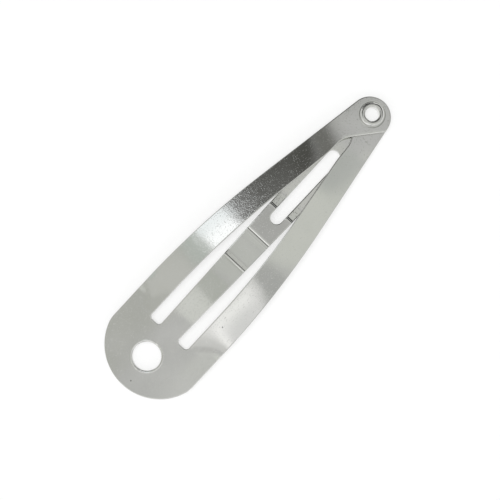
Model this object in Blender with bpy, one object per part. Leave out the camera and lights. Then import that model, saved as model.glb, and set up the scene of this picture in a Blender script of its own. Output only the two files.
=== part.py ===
"""Snap hair clip, closed, lying on a table.

One stamped blank of spring steel holds a heel plate, two arms and a centre tongue. The ears at
the ends of the arms overlap at the tip, where a tubular eyelet joins them. The blank bends at a
flex line across the roots of the arms and of the tongue, so it is made in four pieces there.

X runs from heel to tip and Z is up. The origin is under the middle of the clip, on the table.
Lengths are in metres and angles in radians.
"""

import math

import bmesh
import bpy

# Blank, seen from above
CLIP_LENGTH = 0.0500
BODY_WIDTH = 0.0139
HEEL_CORNER_ANGLE = math.radians(13.6)
HEEL_CORNER_RADIUS = 0.004
TIP_RADIUS = 0.00266
SIDE_BEND_FROM_HEEL_END = 0.0219
SIDE_BEND_RADIUS = 0.125
SHEET_THICKNESS = 0.0004

# Hole in the heel plate
HEEL_HOLE_DIAMETER = 0.0038
HEEL_HOLE_FROM_END = 0.0049

# Slots between the tongue and the arms
SLOT_WIDTH = 0.00168
SLOT_FROM_HEEL_END = 0.00874
SLOT_CORNER_RADIUS = 0.0005

# Inner edges of the arms and the edges of the ears
INNER_BEND_FROM_HEEL_END = 0.0240
INNER_BEND_RADIUS = 0.1216
BITE_GAP = 0.0016
BITE_LENGTH = 0.0024
BITE_BLEND_RADIUS = 0.014
EAR_REACH = 0.0062
EAR_EDGE_ANGLE = math.radians(39)
EAR_FILLET_RADIUS = 0.0027

# Tongue
TONGUE_ROOT_WIDTH = 0.00314
TONGUE_TIP_WIDTH = 0.0042
TONGUE_TIP_RADIUS = 0.0019
TONGUE_TO_EYELET = 0.0020
TONGUE_SLOT_WIDTH = 0.00166
TONGUE_SLOT_LENGTH = 0.0125
TONGUE_SLOT_FROM_TIP = 0.0031

# Cross creases of the tongue: a lowered grip, then a dip that takes the tip under the arms
GRIP_LENGTH = 0.0047
GRIP_DEPTH = 0.0001
GRIP_TO_DIP = 0.0040
DIP_BEFORE_ARMS = 0.0026
DIP_DEPTH = 0.0005
JOGGLE_LENGTH = 0.0007

# Bend of the closed clip, seen from the side
ARCH_RADIUS = 0.135
ARM_TWIST = math.radians(5)
TWIST_RISE_LENGTH = 0.011
TWIST_FADE_LENGTH = 0.008
EAR_LIFT_LENGTH = 0.012

# Eyelet
EYELET_FROM_TIP = 0.0022
EYELET_BORE = 0.0019
EYELET_WALL = 0.0002
EYELET_LIP_WIDTH = 0.00059
LOWER_LIP_HEIGHT = 0.00022

# Clearances
FLEX_GAP = 0.0002
LAYER_GAP = 0.00006
EYELET_FIT = 0.0001

# Fineness of the round stretches and of the bend
ARC_TOLERANCE = 0.000004
BEND_STEP = 0.0016
ON_STATION = 0.000005
EYELET_SEGMENTS = 40
LIP_SEGMENTS = 8
SMOOTH_ANGLE = math.radians(30)

# Finish of the plated steel
BLANK_COLOUR = (0.70, 0.70, 0.68, 1)
EYELET_COLOUR = (0.74, 0.74, 0.72, 1)
BLANK_ROUGHNESS = 0.22
EYELET_ROUGHNESS = 0.18

# Places along X, measured from the heel's end
half_width = BODY_WIDTH / 2
heel_radius = half_width / math.cos(HEEL_CORNER_ANGLE)
flex_x = SLOT_FROM_HEEL_END + SLOT_WIDTH / 2
moving_x = flex_x + FLEX_GAP
pivot_x = flex_x + FLEX_GAP / 2
tip_centre_x = CLIP_LENGTH - TIP_RADIUS
eyelet_x = CLIP_LENGTH - EYELET_FROM_TIP
ear_cross_x = CLIP_LENGTH - EAR_REACH

# Widths from the centreline
tongue_root_half = TONGUE_ROOT_WIDTH / 2
tongue_tip_half = TONGUE_TIP_WIDTH / 2
arm_inner_half = tongue_root_half + SLOT_WIDTH
bite_half = BITE_GAP / 2

# Outer edges: from the side bend, straight along the tangent of the round tip
taper_run = tip_centre_x - SIDE_BEND_FROM_HEEL_END
taper_angle = math.acos(TIP_RADIUS / math.hypot(taper_run, half_width)) - math.atan2(taper_run, half_width)
taper_half_at_tip = TIP_RADIUS / math.cos(taper_angle)

# Inner edges: from the inner bend, straight to the narrow bite
ear_corner_x = ear_cross_x - bite_half / math.tan(EAR_EDGE_ANGLE)
bite_corner_x = ear_corner_x - BITE_LENGTH
inner_slope = (arm_inner_half - bite_half) / (bite_corner_x - INNER_BEND_FROM_HEEL_END)

# Eyelet radii
bore_radius = EYELET_BORE / 2
barrel_radius = bore_radius + EYELET_WALL
flange_radius = bore_radius + EYELET_LIP_WIDTH
lip_radius = EYELET_LIP_WIDTH / 2
lip_centre_radius = bore_radius + lip_radius
ear_hole_radius = barrel_radius + EYELET_FIT

# Tongue places
tongue_tip_x = eyelet_x - flange_radius - TONGUE_TO_EYELET
tongue_slot_end_x = tongue_tip_x - TONGUE_SLOT_FROM_TIP
tongue_slot_start_x = tongue_slot_end_x - TONGUE_SLOT_LENGTH
tongue_flare = (tongue_tip_half - tongue_root_half) / (tongue_tip_x - moving_x)
inner_edge_at_root = arm_inner_half + inner_slope * (INNER_BEND_FROM_HEEL_END - moving_x)
arms_cover_x = moving_x + (inner_edge_at_root - tongue_root_half) / (inner_slope + tongue_flare)
dip_start_x = arms_cover_x - DIP_BEFORE_ARMS
grip_end_x = dip_start_x - GRIP_TO_DIP
grip_start_x = grip_end_x - GRIP_LENGTH

# Layers at the tip: upper ear, lower ear, tongue
layer_step = SHEET_THICKNESS + LAYER_GAP
ears_half_height = SHEET_THICKNESS + LAYER_GAP / 2
seat_height = ears_half_height + LAYER_GAP

# The clip rests on the heel's rear edge and on the front of the eyelet's lower lip
arch_turn = (ear_corner_x - flex_x) / ARCH_RADIUS
drop_at_eyelet = arch_turn * ((ear_corner_x - flex_x) / 2 + eyelet_x - ear_corner_x)
lip_drop = lip_centre_radius * arch_turn + seat_height + LOWER_LIP_HEIGHT
heel_slope = (drop_at_eyelet + lip_drop - SHEET_THICKNESS / 2) / (eyelet_x + lip_centre_radius)
ear_slope = heel_slope - arch_turn


def arc(centre_x, centre_y, radius, start, end):
    """Points of an arc, its ends included, on chords that stay within the tolerance."""
    step = 2 * math.acos(1 - min(ARC_TOLERANCE / radius, 1))
    count = max(math.ceil(abs(end - start) / step), 2)
    angles = [start + (end - start) * i / count for i in range(count + 1)]
    return [(centre_x + radius * math.cos(a), centre_y + radius * math.sin(a)) for a in angles]


def rounded(corners):
    """Points of an open path through (x, y, radius) corners, each corner rounded as it fits."""
    points = [corners[0][:2]]
    for before, corner, after in zip(corners, corners[1:], corners[2:]):
        points += fillet(before, corner, after)
    points.append(corners[-1][:2])
    return [points[0]] + [b for a, b in zip(points, points[1:]) if math.dist(a, b) > ON_STATION]


def fillet(before, corner, after):
    """Arc that rounds a corner. An edge between two rounded corners is shared by halves."""
    x, y, radius = corner
    angle_in = math.atan2(y - before[1], x - before[0])
    angle_out = math.atan2(after[1] - y, after[0] - x)
    turn = (angle_out - angle_in + math.pi) % (2 * math.pi) - math.pi
    reach = radius * math.tan(abs(turn) / 2)
    for neighbour in (before, after):
        room = math.hypot(neighbour[0] - x, neighbour[1] - y)
        reach = min(reach, room / 2 if neighbour[2] else room)
    if reach == 0:
        return [(x, y)]
    side = math.copysign(1, turn)
    radius = reach / math.tan(abs(turn) / 2)
    centre_x = x - reach * math.cos(angle_in) - side * radius * math.sin(angle_in)
    centre_y = y - reach * math.sin(angle_in) + side * radius * math.cos(angle_in)
    start = angle_in - side * math.pi / 2
    return arc(centre_x, centre_y, radius, start, start + turn)


def circle(centre_x, radius):
    """Closed loop on the centreline."""
    return arc(centre_x, 0, radius, 0, 2 * math.pi)[:-1]


def smooth_step(x, start, end):
    """Rises from 0 to 1 between two places, level at both."""
    share = min(max((x - start) / (end - start), 0), 1)
    return share * share * (3 - 2 * share)


def linear_step(x, start, end):
    """Rises from 0 to 1 between two places on a straight ramp."""
    return min(max((x - start) / (end - start), 0), 1)


def middle_height(x):
    """Height of the sheet's middle surface: flat heel, arch over the arms, flat ears."""
    bent = min(max(x - flex_x, 0), ear_corner_x - flex_x)
    beyond = max(x - ear_corner_x, 0)
    drop = bent * bent / (2 * ARCH_RADIUS) + beyond * arch_turn
    return SHEET_THICKNESS / 2 + heel_slope * x - drop


def heel_height(x, y):
    return middle_height(x)


def arm_axis(x):
    """Distance from the centreline to the middle of an arm."""
    root = (half_width + arm_inner_half) / 2
    ear = (taper_half_at_tip + (tip_centre_x - ear_corner_x) * math.tan(taper_angle) + bite_half) / 2
    return root + (ear - root) * linear_step(x, SIDE_BEND_FROM_HEEL_END, ear_corner_x)


def arm_height(x, y, side):
    """An arm twists its outer edge down, and its ear climbs or sinks by half a layer."""
    lift = side * layer_step / 2 * smooth_step(x, ear_corner_x - EAR_LIFT_LENGTH, ear_corner_x)
    rise = smooth_step(x, flex_x, flex_x + TWIST_RISE_LENGTH)
    fade = smooth_step(x, ear_corner_x - TWIST_FADE_LENGTH, ear_corner_x)
    twist = math.tan(ARM_TWIST) * rise * (1 - fade)
    return middle_height(x) + lift - twist * (side * y - arm_axis(x))


def left_arm_height(x, y):
    return arm_height(x, y, 1)


def right_arm_height(x, y):
    return arm_height(x, y, -1)


def tongue_height(x, y):
    """The tongue follows the arch, steps down at its grip, and dips under the arms."""
    grip_in = linear_step(x, grip_start_x, grip_start_x + JOGGLE_LENGTH)
    grip_out = linear_step(x, grip_end_x - JOGGLE_LENGTH, grip_end_x)
    dip = linear_step(x, dip_start_x, dip_start_x + JOGGLE_LENGTH)
    settle = linear_step(x, dip_start_x + JOGGLE_LENGTH, tongue_slot_end_x)
    under_ears = layer_step * 3 / 2
    drop = GRIP_DEPTH * (grip_in - grip_out) + DIP_DEPTH * dip + (under_ears - DIP_DEPTH) * settle
    return middle_height(x) - drop


def mirrored(loop):
    return [(x, -y) for x, y in reversed(loop)]


def heel_end():
    """The heel's round end with an eased corner to each straight side, from left to right."""
    corner_y = half_width - HEEL_CORNER_RADIUS
    back = math.sqrt((heel_radius - HEEL_CORNER_RADIUS) ** 2 - corner_y ** 2)
    corner_x = heel_radius - back
    turn = math.atan2(corner_y, -back)
    left = arc(corner_x, corner_y, HEEL_CORNER_RADIUS, math.pi / 2, turn)
    rear = arc(heel_radius, 0, heel_radius, turn, 2 * math.pi - turn)
    right = arc(corner_x, -corner_y, HEEL_CORNER_RADIUS, 2 * math.pi - turn, 3 * math.pi / 2)
    return left[:-1] + rear + right[1:]


def slot_notch(start_y, end_y):
    """End of a slot with two rounded corners, open at the flex line."""
    return rounded([
        (flex_x, start_y, 0),
        (SLOT_FROM_HEEL_END, start_y, SLOT_CORNER_RADIUS),
        (SLOT_FROM_HEEL_END, end_y, SLOT_CORNER_RADIUS),
        (flex_x, end_y, 0),
    ])


def heel_loops():
    """Round heel, straight sides, and the slots' ends cut into the flex line."""
    notch_right = slot_notch(-arm_inner_half, -tongue_root_half)
    notch_left = slot_notch(tongue_root_half, arm_inner_half)
    outline = heel_end() + [(flex_x, -half_width)] + notch_right + notch_left + [(flex_x, half_width)]
    return [outline, circle(HEEL_HOLE_FROM_END, HEEL_HOLE_DIAMETER / 2)]


def left_arm_loops():
    """Inner edge, the ear's slanting edge, the round tip, and back along the outer edge."""
    ear_sink = taper_half_at_tip + (tip_centre_x - ear_cross_x) * math.tan(taper_angle)
    ear_run = ear_sink / (math.tan(EAR_EDGE_ANGLE) + math.tan(taper_angle))
    tangent_angle = math.pi / 2 - taper_angle
    tip = arc(tip_centre_x, 0, TIP_RADIUS, -tangent_angle, tangent_angle)
    inner = rounded([
        (moving_x, arm_inner_half, 0),
        (INNER_BEND_FROM_HEEL_END, arm_inner_half, INNER_BEND_RADIUS),
        (bite_corner_x, bite_half, BITE_BLEND_RADIUS),
        (ear_corner_x, bite_half, EAR_FILLET_RADIUS),
        (ear_cross_x + ear_run, -ear_run * math.tan(EAR_EDGE_ANGLE), 0),
    ])
    outer = rounded([
        (*tip[-1], 0),
        (SIDE_BEND_FROM_HEEL_END, half_width, SIDE_BEND_RADIUS),
        (moving_x, half_width, 0),
    ])
    return [inner + tip + outer[1:], circle(eyelet_x, ear_hole_radius)]


def right_arm_loops():
    return [mirrored(loop) for loop in left_arm_loops()]


def tongue_loops():
    """A strip that widens towards its round tip, with a long round-ended slot."""
    slot_radius = TONGUE_SLOT_WIDTH / 2
    quarter = math.pi / 2
    outline = rounded([
        (moving_x, -tongue_root_half, 0),
        (tongue_tip_x, -tongue_tip_half, TONGUE_TIP_RADIUS),
        (tongue_tip_x, tongue_tip_half, TONGUE_TIP_RADIUS),
        (moving_x, tongue_root_half, 0),
    ])
    near_end = arc(tongue_slot_start_x + slot_radius, 0, slot_radius, quarter, 3 * quarter)
    far_end = arc(tongue_slot_end_x - slot_radius, 0, slot_radius, -quarter, quarter)
    return [outline, near_end + far_end]


def stations(start, end, creases):
    """Places where a sheet is cut across so that it can bend."""
    count = math.ceil((end - start) / BEND_STEP)
    regular = [start + (end - start) * i / count for i in range(1, count)]
    clear = [x for x in regular if all(abs(x - crease) > JOGGLE_LENGTH / 2 for crease in creases)]
    return sorted(clear + [x for x in creases if start < x < end])


def sheet_mesh(loops, cuts, height):
    """A closed sheet: outline and holes filled flat, cut at the stations, thickened and bent."""
    bm = bmesh.new()
    for loop in loops:
        verts = [bm.verts.new((x, y, 0)) for x, y in loop]
        for vert, following in zip(verts, verts[1:] + verts[:1]):
            bm.edges.new((vert, following))
    bmesh.ops.triangle_fill(bm, edges=bm.edges[:], use_beauty=True)
    for x in cuts:
        everything = bm.verts[:] + bm.edges[:] + bm.faces[:]
        bmesh.ops.bisect_plane(
            bm, geom=everything, dist=ON_STATION, plane_co=(x, 0, 0), plane_no=(1, 0, 0))
    bmesh.ops.triangulate(bm, faces=bm.faces[:])
    raised = bmesh.ops.extrude_face_region(bm, geom=bm.faces[:])["geom"]
    for vert in raised:
        if isinstance(vert, bmesh.types.BMVert):
            vert.co.z = SHEET_THICKNESS
    bmesh.ops.recalc_face_normals(bm, faces=bm.faces[:])
    for vert in bm.verts:
        vert.co.z += height(vert.co.x, vert.co.y) - SHEET_THICKNESS / 2
    return bm


def eyelet_mesh():
    """Turned tube with a rolled lip over each side of the two ears, tilted as the ears are."""
    upper = [(lip_centre_radius - lip_radius * math.cos(a), seat_height + lip_radius * math.sin(a))
             for a in (math.pi * i / LIP_SEGMENTS for i in range(LIP_SEGMENTS + 1))]
    lower = [(lip_centre_radius + lip_radius * math.cos(a), -seat_height - LOWER_LIP_HEIGHT * math.sin(a))
             for a in (math.pi * i / LIP_SEGMENTS for i in range(LIP_SEGMENTS + 1))]
    profile = upper + [(barrel_radius, seat_height), (barrel_radius, -seat_height)] + lower
    bm = bmesh.new()
    verts = [bm.verts.new((radius, 0, z)) for radius, z in profile]
    edges = [bm.edges.new(pair) for pair in zip(verts, verts[1:] + verts[:1])]
    bmesh.ops.spin(bm, geom=verts + edges, cent=(0, 0, 0), axis=(0, 0, 1), angle=2 * math.pi,
                   steps=EYELET_SEGMENTS, use_merge=True)
    bmesh.ops.recalc_face_normals(bm, faces=bm.faces[:])
    tilt = math.atan(ear_slope)
    for vert in bm.verts:
        x, z = vert.co.x, vert.co.z
        vert.co.x = eyelet_x + x * math.cos(tilt) - z * math.sin(tilt)
        vert.co.z = middle_height(eyelet_x) + x * math.sin(tilt) + z * math.cos(tilt)
    return bm


def plated_steel(name, colour, roughness):
    material = bpy.data.materials.new(name)
    material.use_nodes = True
    shader = material.node_tree.nodes["Principled BSDF"]
    shader.inputs["Base Color"].default_value = colour
    shader.inputs["Metallic"].default_value = 1
    shader.inputs["Roughness"].default_value = roughness
    return material


def add_piece(name, bm, pivot, material, parent=None):
    """Object whose origin is its pivot, given from the heel's end, shaded smooth on its bends."""
    for vert in bm.verts:
        vert.co.x -= pivot[0]
        vert.co.z -= pivot[1]
    mesh = bpy.data.meshes.new(name)
    bm.to_mesh(mesh)
    bm.free()
    mesh.shade_smooth()
    mesh.set_sharp_from_angle(angle=SMOOTH_ANGLE)
    mesh.materials.append(material)
    piece = bpy.data.objects.new(name, mesh)
    bpy.context.scene.collection.objects.link(piece)
    if parent:
        piece.parent = parent
    else:
        piece.location = (pivot[0] - CLIP_LENGTH / 2, 0, pivot[1])
    return piece


def add_pivot(name):
    """Empty on the flex line, at the middle of the sheet."""
    pivot = bpy.data.objects.new(name, None)
    pivot.location = (pivot_x - CLIP_LENGTH / 2, 0, middle_height(pivot_x))
    bpy.context.scene.collection.objects.link(pivot)
    return pivot


def build_clip():
    for old in list(bpy.data.objects):
        bpy.data.objects.remove(old, do_unlink=True)
    flex = (pivot_x, middle_height(pivot_x))
    arms_pivot = add_pivot("arms_pivot")
    tongue_pivot = add_pivot("tongue_pivot")
    creases = [grip_start_x, grip_start_x + JOGGLE_LENGTH, grip_end_x - JOGGLE_LENGTH, grip_end_x,
               dip_start_x, dip_start_x + JOGGLE_LENGTH, ear_corner_x]
    arm_cuts = stations(moving_x, ear_corner_x, []) + [ear_corner_x]
    tongue_cuts = stations(moving_x, tongue_tip_x, creases)
    add_piece("heel_plate", sheet_mesh(heel_loops(), [], heel_height), (0, 0),
              plated_steel("heel_plate", BLANK_COLOUR, BLANK_ROUGHNESS))
    add_piece("left_arm", sheet_mesh(left_arm_loops(), arm_cuts, left_arm_height), flex,
              plated_steel("left_arm", BLANK_COLOUR, BLANK_ROUGHNESS), arms_pivot)
    add_piece("right_arm", sheet_mesh(right_arm_loops(), arm_cuts, right_arm_height), flex,
              plated_steel("right_arm", BLANK_COLOUR, BLANK_ROUGHNESS), arms_pivot)
    add_piece("tongue", sheet_mesh(tongue_loops(), tongue_cuts, tongue_height), flex,
              plated_steel("tongue", BLANK_COLOUR, BLANK_ROUGHNESS), tongue_pivot)
    add_piece("eyelet", eyelet_mesh(), flex,
              plated_steel("eyelet", EYELET_COLOUR, EYELET_ROUGHNESS), arms_pivot)


build_clip()
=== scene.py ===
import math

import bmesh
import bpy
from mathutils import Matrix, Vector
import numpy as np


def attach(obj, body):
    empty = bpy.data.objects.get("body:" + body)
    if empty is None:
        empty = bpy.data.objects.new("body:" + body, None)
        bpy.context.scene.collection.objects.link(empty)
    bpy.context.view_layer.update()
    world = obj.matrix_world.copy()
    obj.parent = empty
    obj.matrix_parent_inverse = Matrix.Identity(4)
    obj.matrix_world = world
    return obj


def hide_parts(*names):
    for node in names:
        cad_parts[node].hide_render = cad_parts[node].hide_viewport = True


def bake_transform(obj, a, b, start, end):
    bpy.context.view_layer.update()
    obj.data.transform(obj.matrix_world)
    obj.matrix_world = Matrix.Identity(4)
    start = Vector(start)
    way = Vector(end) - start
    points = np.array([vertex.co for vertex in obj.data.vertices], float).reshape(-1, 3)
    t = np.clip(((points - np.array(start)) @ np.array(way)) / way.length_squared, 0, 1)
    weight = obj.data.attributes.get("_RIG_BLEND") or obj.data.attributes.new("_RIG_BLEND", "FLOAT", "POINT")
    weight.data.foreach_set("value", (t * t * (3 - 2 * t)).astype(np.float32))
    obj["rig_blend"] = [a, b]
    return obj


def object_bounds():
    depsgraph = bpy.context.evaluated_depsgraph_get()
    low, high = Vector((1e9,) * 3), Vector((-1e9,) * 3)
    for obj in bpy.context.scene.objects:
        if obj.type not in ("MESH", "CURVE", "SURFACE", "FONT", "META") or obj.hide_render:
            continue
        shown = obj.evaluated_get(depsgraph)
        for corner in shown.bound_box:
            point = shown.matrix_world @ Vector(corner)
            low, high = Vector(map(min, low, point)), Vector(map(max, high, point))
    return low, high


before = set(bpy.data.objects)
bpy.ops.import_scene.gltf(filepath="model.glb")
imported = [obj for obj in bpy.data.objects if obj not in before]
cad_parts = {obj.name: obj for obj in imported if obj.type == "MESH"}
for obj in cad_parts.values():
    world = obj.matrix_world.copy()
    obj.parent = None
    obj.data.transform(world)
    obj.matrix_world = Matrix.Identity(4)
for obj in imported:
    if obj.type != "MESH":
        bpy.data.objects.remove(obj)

# Looks of a snap hair clip: plated spring steel on a pale floor under soft studio light.
# X runs from heel to tip and Z is up, as in the frame. Outlines are laid out from the heel's
# end. Lengths are in metres, and angles in radians where no name says degrees.

cad_low, cad_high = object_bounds()

# Blank, seen from above
CLIP_LENGTH = cad_high.x - cad_low.x
BODY_WIDTH = cad_high.y - cad_low.y
HEEL_CORNER_ANGLE = math.radians(13.6)
HEEL_CORNER_RADIUS = 0.004
TIP_RADIUS = 0.00273
SIDE_BEND_FROM_HEEL_END = 0.0219
SIDE_BEND_RADIUS = 0.125
SHEET_THICKNESS = 0.0004
HEEL_HOLE_DIAMETER = 0.0038
HEEL_HOLE_FROM_END = 0.0049
HEEL_HOLE_OFF_CENTRE = 0.00015
SLOT_WIDTH = 0.00168
SLOT_FROM_HEEL_END = 0.00874
SLOT_CORNER_RADIUS = 0.0005
SLOT_END_FROM_HEEL_END = 0.00892
INNER_BEND_FROM_HEEL_END = 0.0240
INNER_BEND_RADIUS = 0.1216
LEFT_INNER_BEND_FROM_HEEL_END = 0.0228
RIGHT_INNER_BEND_FROM_HEEL_END = 0.0232
SLOTS_OFF_CENTRE = 0.0001
BITE_GAP = 0.0016
RIGHT_BITE_HALF = 0.00058
RIGHT_EAR_HALF = 0.00042
BITE_LENGTH = 0.0024
BITE_BLEND_RADIUS = 0.014
EAR_REACH = 0.0062
EAR_EDGE_ANGLE = math.radians(39)
EAR_FILLET_RADIUS = 0.0027

# Tongue and its cross creases
TONGUE_ROOT_WIDTH = 0.00314
TONGUE_TIP_WIDTH = 0.0042
TONGUE_TIP_SPREAD = 0.00012
TONGUE_TIP_OFF_CENTRE = 0.00003
TONGUE_TIP_RADIUS = 0.0019
TONGUE_TO_EYELET = 0.0020
TONGUE_SLOT_WIDTH = 0.00166
TONGUE_SLOT_FLARE = 0.00005
TONGUE_SLOT_LENGTH = 0.0125
TONGUE_SLOT_FROM_TIP = 0.0031
GRIP_LENGTH = 0.0047
GRIP_DEPTH = 0.0001
GRIP_TO_DIP = 0.0040
DIP_BEFORE_ARMS = 0.0026
DIP_DEPTH = 0.0005
JOGGLE_LENGTH = 0.0007
GRIP_RISE_SHARE = 0.45
DIP_STEP = 0.00015
DIP_STEP_LENGTH = 0.00025
DIP_RUN_LENGTH = 0.0019

# Bend of the closed clip, seen from the side
ARCH_RADIUS = 0.135
ARM_TWIST = math.radians(5)
TWIST_RISE_LENGTH = 0.0054
TWIST_RISE_SKEW = 0.6
TWIST_FADE_LENGTH = 0.008
TWIST_FADE_PAST_CORNER = 0.0022
CUP_RADIUS = 0.09
EAR_LIFT_LENGTH = 0.012

# Eyelet, and the clearances between the layers
EYELET_FROM_TIP = 0.0022
EYELET_SET_BACK = 0.00008
EYELET_OFF_CENTRE = 0.00008
EYELET_BORE = 0.0019
EYELET_WALL = 0.0002
EYELET_LIP_WIDTH = 0.00059
UPPER_LIP_HEIGHT = 0.00022
LOWER_LIP_HEIGHT = 0.00022
LIP_SPREAD = 0.00004
INNER_LIP_CURVE = 0.55
OUTER_LIP_CURVE = 0.9
LAYER_GAP = 0.00006
EYELET_FIT = 0.0001

# Sheared edges: the punch rolls the top over and leaves the underside almost square
EDGE_ROLL = 0.0001
HOLE_ROLL = 0.00014
ROLL_DEPTH_SHARE = 0.6
UNDER_ROLL = 0.00002
FLAT_BESIDE_ROLL = 0.00005
PRESS_RING_RADIUS = 0.00169
PRESS_RING_WIDTH = 0.00016
PRESS_RING_DEPTH = 0.000004
PRESSED_FIELD_RADIUS = 0.00196
EAR_ROLL_WIDTH = 0.00021
EAR_ROLL_DEPTH = 0.00008
EAR_ROLL_FADE = 0.001
BURR_WIDTH = 0.00016
BURR_HEIGHT = 0.000014
BURR_MARGIN = 0.00008

# Lines that the die coins at the tongue's creases
STRONG_LINE_WIDTH = 0.00032
STRONG_LINE_HEIGHT = 0.000034
FAINT_LINE_WIDTH = 0.00026
FAINT_LINE_HEIGHT = 0.000007
SECOND_LINE_WIDTH = 0.00032
SECOND_LINE_HEIGHT = 0.000052
SECOND_LINE_BEFORE_GRIP_END = 0.00015
FAINT_LINE_BEFORE_SECOND = 0.0005
DIP_LINE_HEIGHT = 0.000017

# Gentle waves that the rolled strip keeps
WAVE_LENGTH_ALONG = 0.0093
WAVE_LENGTH_ACROSS = 0.0061
WAVE_HEIGHT = 0.0000016

# Fineness of the meshes
ARC_TOLERANCE = 0.0000012
GRID_STEP = 0.0005
GRID_CLEARANCE = GRID_STEP / 4
CREASE_BEND = 0.0002
SOFT_BEND = 0.0006
LINE_CUTS = 14
ROLL_RINGS = 5
UNDER_RINGS = 2
PRESSED_RINGS = 16
BURR_RINGS = 12
EAR_ROLL_RINGS = 6
ON_LINE = 0.00002
SAME_PLACE = 0.0000001
SLOPE_PROBE = 0.000001
EYELET_SEGMENTS = 120
LIP_SEGMENTS = 28
SHARP_ANGLE = math.radians(50)

# Stretch of the arms and of the tongue that bends when the clip is opened
FLEX_STRETCH = 0.016

# Places along X, measured from the heel's end
half_width = BODY_WIDTH / 2
heel_radius = half_width / math.cos(HEEL_CORNER_ANGLE)
flex_x = SLOT_FROM_HEEL_END + SLOT_WIDTH / 2
tip_centre_x = CLIP_LENGTH - TIP_RADIUS
eyelet_x = CLIP_LENGTH - EYELET_FROM_TIP
rivet_x = eyelet_x - EYELET_SET_BACK
ear_cross_x = CLIP_LENGTH - EAR_REACH

# Widths from the centreline
tongue_root_half = TONGUE_ROOT_WIDTH / 2
tongue_tip_half = TONGUE_TIP_WIDTH / 2
arm_inner_half = tongue_root_half + SLOT_WIDTH
bite_half = BITE_GAP / 2

# Outer edges run straight along the tangent of the round tip, inner edges to the narrow bite
taper_run = tip_centre_x - SIDE_BEND_FROM_HEEL_END
taper_reach = math.hypot(taper_run, half_width)
taper_angle = math.acos(TIP_RADIUS / taper_reach) - math.atan2(taper_run, half_width)
taper_half_at_tip = TIP_RADIUS / math.cos(taper_angle)
ear_corner_x = ear_cross_x - bite_half / math.tan(EAR_EDGE_ANGLE)
bite_corner_x = ear_corner_x - BITE_LENGTH
inner_slope = (arm_inner_half - bite_half) / (bite_corner_x - INNER_BEND_FROM_HEEL_END)

# Eyelet radii
bore_radius = EYELET_BORE / 2
barrel_radius = bore_radius + EYELET_WALL
flange_radius = bore_radius + EYELET_LIP_WIDTH
lip_radius = EYELET_LIP_WIDTH / 2
lip_centre_radius = bore_radius + lip_radius
ear_hole_radius = barrel_radius + EYELET_FIT

# Tongue places
tongue_tip_x = eyelet_x - flange_radius - TONGUE_TO_EYELET
tongue_slot_end_x = tongue_tip_x - TONGUE_SLOT_FROM_TIP
tongue_slot_start_x = tongue_slot_end_x - TONGUE_SLOT_LENGTH
tongue_flare = (tongue_tip_half - tongue_root_half) / (tongue_tip_x - flex_x)
inner_edge_at_root = arm_inner_half + inner_slope * (INNER_BEND_FROM_HEEL_END - flex_x)
arms_cover_x = flex_x + (inner_edge_at_root - tongue_root_half) / (inner_slope + tongue_flare)
dip_start_x = arms_cover_x - DIP_BEFORE_ARMS
grip_end_x = dip_start_x - GRIP_TO_DIP
grip_start_x = grip_end_x - GRIP_LENGTH

# Layers at the tip, and the slopes of the clip as it rests
layer_step = SHEET_THICKNESS + LAYER_GAP
seat_height = SHEET_THICKNESS + LAYER_GAP / 2 + LAYER_GAP
arch_turn = (ear_corner_x - flex_x) / ARCH_RADIUS
drop_at_eyelet = arch_turn * ((ear_corner_x - flex_x) / 2 + eyelet_x - ear_corner_x)
lip_drop = lip_centre_radius * arch_turn + seat_height + LOWER_LIP_HEIGHT
heel_slope = (drop_at_eyelet + lip_drop - SHEET_THICKNESS / 2) / (eyelet_x + lip_centre_radius)
ear_slope = heel_slope - arch_turn


def arc(centre_x, centre_y, radius, start, end):
    """Points of an arc, its ends included, on chords that stay within the tolerance."""
    step = 2 * math.acos(1 - ARC_TOLERANCE / radius)
    count = max(math.ceil(abs(end - start) / step), 2)
    angles = [start + (end - start) * i / count for i in range(count + 1)]
    return [(centre_x + radius * math.cos(a), centre_y + radius * math.sin(a)) for a in angles]


def circle(centre_x, centre_y, radius):
    return arc(centre_x, centre_y, radius, 0, 2 * math.pi)[:-1]


def rounded(corners):
    """Points of an open path through (x, y, radius) corners, each corner rounded as it fits."""
    points = [corners[0][:2]]
    for before, corner, after in zip(corners, corners[1:], corners[2:]):
        points += fillet(before, corner, after)
    points.append(corners[-1][:2])
    return [points[0]] + [b for a, b in zip(points, points[1:]) if math.dist(a, b) > ON_LINE]


def fillet(before, corner, after):
    """Arc that rounds a corner. An edge between two rounded corners is shared by halves."""
    x, y, radius = corner
    angle_in = math.atan2(y - before[1], x - before[0])
    angle_out = math.atan2(after[1] - y, after[0] - x)
    turn = (angle_out - angle_in + math.pi) % (2 * math.pi) - math.pi
    reach = radius * math.tan(abs(turn) / 2)
    for neighbour in (before, after):
        room = math.hypot(neighbour[0] - x, neighbour[1] - y)
        reach = min(reach, room / 2 if neighbour[2] else room)
    side = math.copysign(1, turn)
    radius = reach / math.tan(abs(turn) / 2)
    centre_x = x - reach * math.cos(angle_in) - side * radius * math.sin(angle_in)
    centre_y = y - reach * math.sin(angle_in) + side * radius * math.cos(angle_in)
    start = angle_in - side * math.pi / 2
    return arc(centre_x, centre_y, radius, start, start + turn)


def smooth_step(x, start, end):
    """Rises from 0 to 1 between two places, level at both."""
    share = min(max((x - start) / (end - start), 0), 1)
    return share * share * (3 - 2 * share)


def ramp_area(x, start, end):
    """Area under a straight ramp from 0 to 1, up to x."""
    inside = min(max(x - start, 0), end - start)
    return inside * inside / (2 * (end - start)) + max(x - end, 0)


def eased_ramp(x, start, end, first_bend=CREASE_BEND, last_bend=CREASE_BEND):
    """A straight ramp from 0 to 1 whose two corners are bent over short lengths."""
    first = ramp_area(x, start - first_bend / 2, start + first_bend / 2)
    last = ramp_area(x, end - last_bend / 2, end + last_bend / 2)
    return (first - last) / (end - start)


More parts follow.
